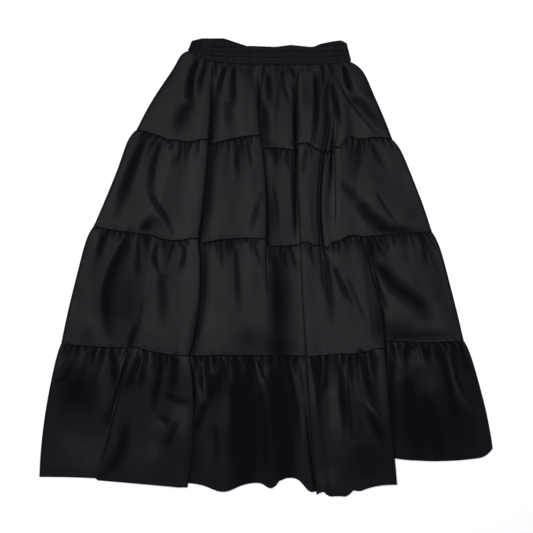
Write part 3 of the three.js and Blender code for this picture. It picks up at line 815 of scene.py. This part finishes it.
def front_points(tier):
    """The middle surface of a front tier by rows, its cloth coordinates and how dull it is."""
    dice = random.Random(SEED + tier)
    columns = front_columns(tier)
    length = TIER_DEPTHS[tier]
    places = row_places(length)
    top = front_base(tier + TIER_START, columns)
    seam_run = run_along(np.hypot(np.diff(top[0]), np.diff(top[2])))
    gathers = []
    for kind in (SHORT_GATHERS[tier], LONG_GATHERS[tier], DRAPES):
        gathers += gather_set(seam_run[-1], kind, dice)
    puckers = gather_set(seam_run[-1], PUCKERS, dice)
    rows, matt = [], []
    for place in places:
        up = length - place
        depth = tier + min(max(place / length, TIER_START), 1 - TIER_START)
        x, y, height, calm = front_base(depth, columns)
        edge = np.minimum(x - x[0], x[-1] - x)
        if tier == 0:
            height = mix(WAIST_HEIGHT, height, min(1, place / WAIST_EASE) ** WAIST_CURVE)
        ridges, troughs = crease_height(x, y)
        inside = np.clip(edge / GATHER_FADE, 0, 1)
        gathered = gather_height(seam_run, place, gathers) * inside * top[3]
        z = height + (ridges + swell_height(x, y, random.Random(SEED))) * calm + np.maximum(gathered, 0)
        z = z - np.cbrt(np.abs(troughs * calm) ** 3 + np.abs(np.minimum(gathered, 0)) ** 3)
        plain = TIER_MATTNESS[tier] * float(smooth(place / MATTNESS_EASE))
        matt.append(np.clip(mattness(x, y, plain) - GATHER_MATTNESS * gathered, 0, 1))
        z = z - (SEAM_DROP if tier else WAIST_DROP) * math.exp(-place / SEAM_DROP_REACH)
        if tier < TIERS - 1:
            z = z + gather_height(seam_run, up, puckers) * inside
            z = z - TOPSTITCH_DEPTH * math.exp(-(((up - TOPSTITCH_UP) / STITCH_GROOVE_REACH) ** 2))
        else:
            z = z - HEM_DEPTH * math.exp(-(((up - HEM_UP) / STITCH_GROOVE_REACH) ** 2))
            z = z + HEM_RISE * float(smooth((HEM_UP - up) / HEM_EASE))
        z = mix(FRONT_EDGE_HEIGHT, z, 1 - np.exp(-edge / EDGE_ROUNDING))
        z = np.maximum(z, np.minimum(LOWEST_HEIGHT, FRONT_EDGE_HEIGHT + edge * EDGE_SLOPE))
        rows.append((x, y, z))
    lap = rows[0]
    tuck = [(lap[0], lap[1] + SEAM_LAP * part, lap[2] - LAP_DROP * part) for part in LAP_ROWS]
    rows = tuck + rows
    matt = matt[:1] * len(tuck) + matt
    places = [-SEAM_LAP * part for part in LAP_ROWS] + places
    middle = rows[len(rows) // 2]
    run = run_along(np.hypot(np.diff(middle[0]), np.diff(middle[2])))
    return rows, run, places, matt


def add_object(name, data):
    obj = bpy.data.objects.new(name, data)
    bpy.context.scene.collection.objects.link(obj)
    return obj


def mesh_from_rows(name, rows, run, places, matt=None, closed=False):
    """A mesh through rows of points, in metres, with the cloth's own coordinates as an attribute."""
    height, width = len(rows), len(rows[0][0])
    points = np.stack([np.stack(row, axis=1) for row in rows]).reshape(-1, 3) * MM
    mesh = bpy.data.meshes.new(name)
    corners = np.arange(height * width).reshape(height, width)
    if closed:
        corners = np.concatenate([corners, corners[:, :1]], axis=1)
    quads = [corners[:-1, :-1], corners[1:, :-1], corners[1:, 1:], corners[:-1, 1:]]
    quads = np.stack(quads, axis=-1).reshape(-1, 4)
    mesh.vertices.add(len(points))
    mesh.vertices.foreach_set("co", points.ravel())
    mesh.loops.add(quads.size)
    mesh.loops.foreach_set("vertex_index", quads.ravel())
    mesh.polygons.add(len(quads))
    mesh.polygons.foreach_set("loop_start", np.arange(0, quads.size, 4))
    mesh.update(calc_edges=True)
    mesh.polygons.foreach_set("use_smooth", np.ones(len(quads), dtype=bool))
    cloth = np.zeros((height * width, 3))
    cloth[:, 0] = np.tile(run, height) * MM
    cloth[:, 1] = np.repeat(places, width) * MM
    mesh.attributes.new("cloth", "FLOAT_VECTOR", "POINT").data.foreach_set("vector", cloth.ravel())
    dull = np.zeros(len(points)) if matt is None else np.concatenate(matt)
    mesh.attributes.new("matt", "FLOAT", "POINT").data.foreach_set("value", dull)
    mesh.validate()
    return add_object(name, mesh)


def thicken(obj, thickness):
    wall = obj.modifiers.new("cloth", "SOLIDIFY")
    wall.thickness = thickness * MM
    wall.offset = 0
    wall.use_rim = True


def across_at(rows, places, place):
    """The middle surface's points along a line across the skirt, at a distance down the piece."""
    after = next(index for index, here in enumerate(places) if here >= place)
    before = max(0, after - 1)
    part = (place - places[before]) / (places[after] - places[before])
    return [mix(first, second, part) for first, second in zip(rows[before], rows[after])]


def stitches(name, lines, wall):
    """Rows of stitches as one mesh: each is a small ridge that rises out of the cloth's outer side."""
    corners, faces = [], []
    for x, y, z in lines:
        run = run_along(np.sqrt(np.diff(x) ** 2 + np.diff(y) ** 2 + np.diff(z) ** 2))
        for start in np.arange(STITCH_PITCH, run[-1] - STITCH_PITCH, STITCH_PITCH):
            stations = start + STITCH_LENGTH * np.array([0, 0.5, 1])
            spine = np.stack([np.interp(stations, run, values) for values in (x, y, z)], axis=1)
            along = spine[2] - spine[0]
            out = np.array([-along[2], 0, along[0]]) / math.hypot(along[0], along[2])
            side = np.cross(out, along)
            side = side / np.linalg.norm(side) * STITCH_WIDTH / 2
            first = len(corners)
            for point, rise in zip(spine, (-STITCH_SINK, STITCH_RISE, -STITCH_SINK)):
                foot = point + out * (wall / 2 - STITCH_SINK)
                corners += [foot - side, foot + out * (STITCH_SINK + rise), foot + side]
            for end in (first, first + 3):
                for corner in range(3):
                    other = (corner + 1) % 3
                    faces.append((end + corner, end + other, end + 3 + other, end + 3 + corner))
            faces += [(first + 2, first + 1, first), (first + 6, first + 7, first + 8)]
    mesh = bpy.data.meshes.new(name)
    mesh.from_pydata([tuple(corner * MM) for corner in corners], [], faces)
    mesh.validate()
    return add_object(name, mesh)


def back_points(tier):
    """The middle surface of a back tier, lying on the ground with shallow gathers and creases."""
    dice = random.Random(BACK_SEED + tier)
    length = TIER_DEPTHS[tier]
    places = row_places(length)
    places = places[::2] + ([places[-1]] if len(places) % 2 == 0 else [])
    across = (1 - np.cos(np.linspace(0, math.pi, BACK_COLUMNS + 1))) / 2
    parts = mix(np.linspace(0, 1, BACK_COLUMNS + 1), across, BACK_CROWDING)
    hem_x, hem_y = zip(*BACK_HEM)
    rows = []
    gathers = None
    for place in places:
        down = min(max(place / length, TIER_START), 1 - TIER_START)
        depth = tier + down
        x = mix(side_x("left", depth) + BACK_INSET, side_x("right", depth) - BACK_INSET, parts)
        ends = []
        for seam in (tier, tier + 1):
            if seam == 0:
                waist_x = mix(LINE_X["left_edge"][0], LINE_X["right_edge"][0], parts)
                ends.append(waist_y(waist_x) - BACK_TUCK)
            elif seam == TIERS:
                ends.append(np.interp(x, hem_x, hem_y))
            else:
                ends.append(through(*BACK_SEAMS[SEAMS[seam]], parts))
        y = mix(ends[0], ends[1], down)
        edge = np.minimum(x - x[0], x[-1] - x)
        if gathers is None:
            gathers = gather_set(x[-1] - x[0], BACK_GATHERS, dice)
            seam_run = x - x[0]
        inside = np.clip(edge / BACK_GATHER_FADE, 0, 1)
        z = BACK_HEIGHT - gather_height(seam_run, place, gathers) * inside
        z = np.maximum(z, BACK_HEIGHT)
        z = z + (BACK_EDGE_HEIGHT - BACK_HEIGHT) * np.exp(-edge / BACK_EDGE_REACH)
        rows.append((x, y, z))
    middle_x = rows[len(rows) // 2][0]
    matt = [np.full_like(row[0], TIER_MATTNESS[tier]) for row in rows]
    return rows, middle_x - middle_x[0], places, matt


def band_points():
    """The waistband's middle surface as a ring of columns: front, right bend, back, left bend."""
    dice = random.Random(BAND_SEED)
    radius = (BAND_FRONT_HEIGHT - BAND_BACK_HEIGHT) / 2
    middle = BAND_BACK_HEIGHT + radius
    flat = [index / BAND_COLUMNS for index in range(BAND_COLUMNS + 1)]
    angles = [math.pi * index / BAND_BEND_COLUMNS for index in range(1, BAND_BEND_COLUMNS)]

    def bend(part, side):
        return [(part, (1 + side * math.cos(angle)) / 2, middle + side * radius * math.cos(angle),
                 side * radius * math.sin(angle)) for angle in angles]

    stations = [(part, 1.0, BAND_FRONT_HEIGHT, 0.0) for part in flat] + bend(1.0, 1)
    stations += [(part, 0.0, BAND_BACK_HEIGHT, 0.0) for part in reversed(flat)] + bend(0.0, -1)
    parts, fronts, heights, outs = np.array(stations).T
    on_front = fronts > 0.5
    low_x = mix(BAND_LEFT["bottom"], BAND_RIGHT["bottom"], parts)
    high_x = mix(BAND_LEFT["top"], BAND_RIGHT["top"], parts)
    low_y = waist_y(low_x) + BAND_CLEARANCE
    front_top = np.interp(high_x, *zip(*BAND_FRONT_TOP))
    back_top = np.interp(high_x, *zip(*BAND_BACK_TOP))
    high_y = mix(back_top, front_top, fronts)
    run = run_along(np.hypot(np.diff(low_x + outs), np.diff(heights)))

    def ribs():
        wave = np.zeros_like(run)
        for length in RIB_LENGTHS:
            bent = RIB_BEND * np.sin(run / dice.uniform(*RIB_BEND_LENGTHS))
            strength = dice.uniform(*RIB_STRENGTHS)
            phase = dice.uniform(*RIB_PHASES)
            wave += strength * np.sin(2 * math.pi * run / length + phase + bent)
        return wave * RIB_HEIGHT * np.where(on_front, 1.0, BACK_RIBS)

    shared = ribs()
    waves = [SHARED_RIBS * shared + OWN_RIBS * ribs() for _ in range(len(BAND_GROOVES) + 1)]
    rows = []
    for row in range(BAND_ROWS + 1):
        up = row / BAND_ROWS
        channel = sum(groove["up"] < up for groove in BAND_GROOVES)
        lift = CHANNEL_PUFF + waves[channel]
        for groove in BAND_GROOVES:
            dent = math.exp(-(((up - groove["up"]) / groove["reach"]) ** 2))
            lift = lift * (1 - groove["pinch"] * dent) - groove["depth"] * dent
        lift = lift * min(1, BAND_EDGE_RAMP * min(up, 1 - up) + BAND_EDGE_LIFT)
        x = mix(low_x, high_x, up) + outs
        y = mix(low_y, high_y, up)
        z = heights + np.where(on_front, lift, np.maximum(lift, LOWEST_RIB))
        rows.append((x, y, z))
    return rows, run, [BAND_DEPTH * row / BAND_ROWS for row in range(BAND_ROWS + 1)]


# Materials: colours are linear and lengths are in metres
CLOTH_COLOUR = (0.0010, 0.0012, 0.0019)
CLOTH_ROUGHNESS = 0.5
BAND_ROUGHNESS = 0.66
MATT_ROUGHNESS = 0.48
UNEVEN_ROUGHNESS = 0.03
CLOTH_SPECULAR = 0.108
WEAVE_PITCH = 0.00045
WEAVE_RELIEF = 0.00008
WARP_SHARE = 0.7
SLUB_RELIEF = 0.6
PATCH_SCALE = 14
SLUB_SCALE = 420
PATCH_SHARE = 0.7
UNEVEN_TONE = 0.18
THREAD_COLOUR = (0.0012, 0.0013, 0.0018, 1)
TWIST_SCALE = 1500
TWIST_RELIEF = 0.00008
FLOOR_COLOUR = (0.94, 0.94, 0.94, 1)


def node_tree(name):
    material = bpy.data.materials.new(name)
    material.use_nodes = True
    tree = material.node_tree
    return material, tree.nodes, tree.links, tree.nodes["Principled BSDF"]


def set_inputs(node, values):
    for socket, value in values.items():
        node.inputs[socket].default_value = value


def noise(nodes, links, vector, scale, detail):
    node = nodes.new("ShaderNodeTexNoise")
    set_inputs(node, {"Scale": scale, "Detail": detail})
    links.new(vector, node.inputs["Vector"])
    return node.outputs["Fac"]


def cloth_material(name, roughness):
    """Smooth black woven cloth: a fine twill in bump, uneven sheen and slow changes of tone."""
    material, nodes, links, shader = node_tree(name)
    coordinates = nodes.new("ShaderNodeAttribute")
    coordinates.attribute_name = "cloth"
    split = nodes.new("ShaderNodeSeparateXYZ")
    links.new(coordinates.outputs["Vector"], split.inputs[0])

    def maths(kind, first, second=None):
        node = nodes.new("ShaderNodeMath")
        node.operation = kind
        for socket, value in zip(node.inputs, (first, second)):
            if value is None:
                continue
            if hasattr(value, "is_output"):
                links.new(value, socket)
            else:
                socket.default_value = value
        return node.outputs[0]

    turn = 2 * math.pi / WEAVE_PITCH
    warp = maths("SINE", maths("MULTIPLY", maths("ADD", split.outputs["X"], split.outputs["Y"]), turn))
    weft = maths("SINE", maths("MULTIPLY", split.outputs["Y"], turn * 0.5))
    twill = maths("ADD", maths("MULTIPLY", warp, WARP_SHARE), maths("MULTIPLY", weft, 1 - WARP_SHARE))
    place = nodes.new("ShaderNodeTexCoord")
    patches = noise(nodes, links, place.outputs["Object"], PATCH_SCALE, detail=3)
    slubs = noise(nodes, links, coordinates.outputs["Vector"], SLUB_SCALE, detail=2)
    tone = nodes.new("ShaderNodeMapRange")
    set_inputs(tone, {"To Min": 1 - UNEVEN_TONE, "To Max": 1 + UNEVEN_TONE})
    links.new(maths("ADD", maths("MULTIPLY", patches, PATCH_SHARE),
                    maths("MULTIPLY", slubs, 1 - PATCH_SHARE)), tone.inputs["Value"])
    base = nodes.new("ShaderNodeVectorMath")
    base.operation = "SCALE"
    base.inputs[0].default_value = CLOTH_COLOUR
    links.new(tone.outputs["Result"], base.inputs["Scale"])
    links.new(base.outputs[0], shader.inputs["Base Color"])
    matt = nodes.new("ShaderNodeAttribute")
    matt.attribute_name = "matt"
    rough = nodes.new("ShaderNodeMapRange")
    set_inputs(rough, {"To Min": roughness - UNEVEN_ROUGHNESS, "To Max": roughness + UNEVEN_ROUGHNESS})
    links.new(patches, rough.inputs["Value"])
    dull = maths("MULTIPLY", matt.outputs["Fac"], MATT_ROUGHNESS)
    links.new(maths("ADD", rough.outputs["Result"], dull), shader.inputs["Roughness"])
    bump = nodes.new("ShaderNodeBump")
    set_inputs(bump, {"Strength": 0.35, "Distance": WEAVE_RELIEF})
    slub_height = maths("MULTIPLY", slubs, SLUB_RELIEF)
    links.new(maths("ADD", twill, slub_height), bump.inputs["Height"])
    links.new(bump.outputs["Normal"], shader.inputs["Normal"])
    set_inputs(shader, {"Specular IOR Level": CLOTH_SPECULAR, "Sheen Weight": 0.01, "Sheen Roughness": 0.4})
    return material


def thread_material():
    """Black polyester thread, a little glossier than the cloth, with its twist in bump."""
    material, nodes, links, shader = node_tree("thread")
    place = nodes.new("ShaderNodeTexCoord")
    twist = noise(nodes, links, place.outputs["Object"], TWIST_SCALE, detail=2)
    bump = nodes.new("ShaderNodeBump")
    set_inputs(bump, {"Strength": 0.4, "Distance": TWIST_RELIEF})
    links.new(twist, bump.inputs["Height"])
    links.new(bump.outputs["Normal"], shader.inputs["Normal"])
    set_inputs(shader, {"Base Color": THREAD_COLOUR, "Roughness": 0.45, "Specular IOR Level": 0.12})
    return material


def floor_material():
    material, _, _, shader = node_tree("pale floor")
    set_inputs(shader, {"Base Color": FLOOR_COLOUR, "Roughness": 0.9, "Specular IOR Level": 0.1})
    return material


# Pieces

skirt_cloth = cloth_material("skirt_cloth", CLOTH_ROUGHNESS)
band_cloth = cloth_material("waistband_cloth", BAND_ROUGHNESS)
thread = thread_material()


def settle(obj, material, node=None):
    obj.data.materials.append(material)
    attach(obj, "root")
    if node:
        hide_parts(node)


fronts, backs, seams = [], [], []
for tier in range(TIERS):
    rows, run, places, matt = front_points(tier)
    front = mesh_from_rows(f"front_of_tier_{tier + 1}", rows, run, places, matt)
    thicken(front, CLOTH_THICKNESS)
    settle(front, skirt_cloth, f"tier_{tier + 1}_front")
    fronts.append(front)
    stitch_up = HEM_UP if tier == TIERS - 1 else TOPSTITCH_UP
    stitch_line = across_at(rows, places, TIER_DEPTHS[tier] - stitch_up)
    seam = stitches(f"stitches_of_tier_{tier + 1}", [stitch_line], CLOTH_THICKNESS)
    settle(seam, thread)
    seams.append(seam)
    rows, run, places, matt = back_points(tier)
    back = mesh_from_rows(f"back_of_tier_{tier + 1}", rows, run, places, matt)
    thicken(back, CLOTH_THICKNESS)
    settle(back, skirt_cloth, f"tier_{tier + 1}_back")
    backs.append(back)

rows, run, places = band_points()
band = mesh_from_rows("casing", rows, run, places, closed=True)
thicken(band, BAND_THICKNESS)
settle(band, band_cloth, "waistband")
band_lines = []
for groove in BAND_GROOVES:
    line = across_at(rows, places, groove["up"] * BAND_DEPTH)
    band_lines.append([values[:BAND_COLUMNS + 1] for values in line])
band_stitches = stitches("stitches_of_casing", band_lines, BAND_THICKNESS)
settle(band_stitches, thread)

# Floor, light and camera

FLOOR_REACH = 6.0
floor_corners = [(x * FLOOR_REACH, y * FLOOR_REACH, 0) for x, y in ((-1, -1), (1, -1), (1, 1), (-1, 1))]
floor_mesh = bpy.data.meshes.new("floor")
floor_mesh.from_pydata(floor_corners, [], [(0, 1, 2, 3)])
floor_mesh.materials.append(floor_material())
floor = add_object("floor", floor_mesh)


def area_light(name, place, target, size, watts, colour):
    data = bpy.data.lights.new(name, "AREA")
    data.shape = "DISK"
    data.size = size
    data.energy = watts
    data.color = colour
    lamp = add_object(name, data)
    lamp.location = place
    lamp.rotation_euler = (Vector(target) - Vector(place)).to_track_quat("-Z", "Y").to_euler()


area_light("key", place=(-0.24, 0.22, 2.7), target=(0, 0.05, 0), size=1.2, watts=82,
           colour=(1.0, 0.985, 1.07))
area_light("fill", place=(1.8, -1.2, 2.2), target=(0, 0, 0), size=2.0, watts=8, colour=(0.85, 0.92, 1.05))

world = bpy.data.worlds.new("studio")
world.use_nodes = True
set_inputs(world.node_tree.nodes["Background"], {"Color": (0.74, 0.83, 1.0, 1), "Strength": 0.15})
bpy.context.scene.world = world
bpy.context.scene.view_settings.view_transform = "Standard"

PICTURE_WIDTH = 1.066
CAMERA_ASIDE = 0.001
camera_data = bpy.data.cameras.new("camera")
camera_data.lens = 85
camera_data.sensor_width = 36
camera_data.clip_end = 50
camera = add_object("camera", camera_data)
camera_height = PICTURE_WIDTH * camera_data.lens / camera_data.sensor_width
camera.location = (CAMERA_ASIDE, CAMERA_ASIDE, camera_height)
bpy.context.scene.camera = camera
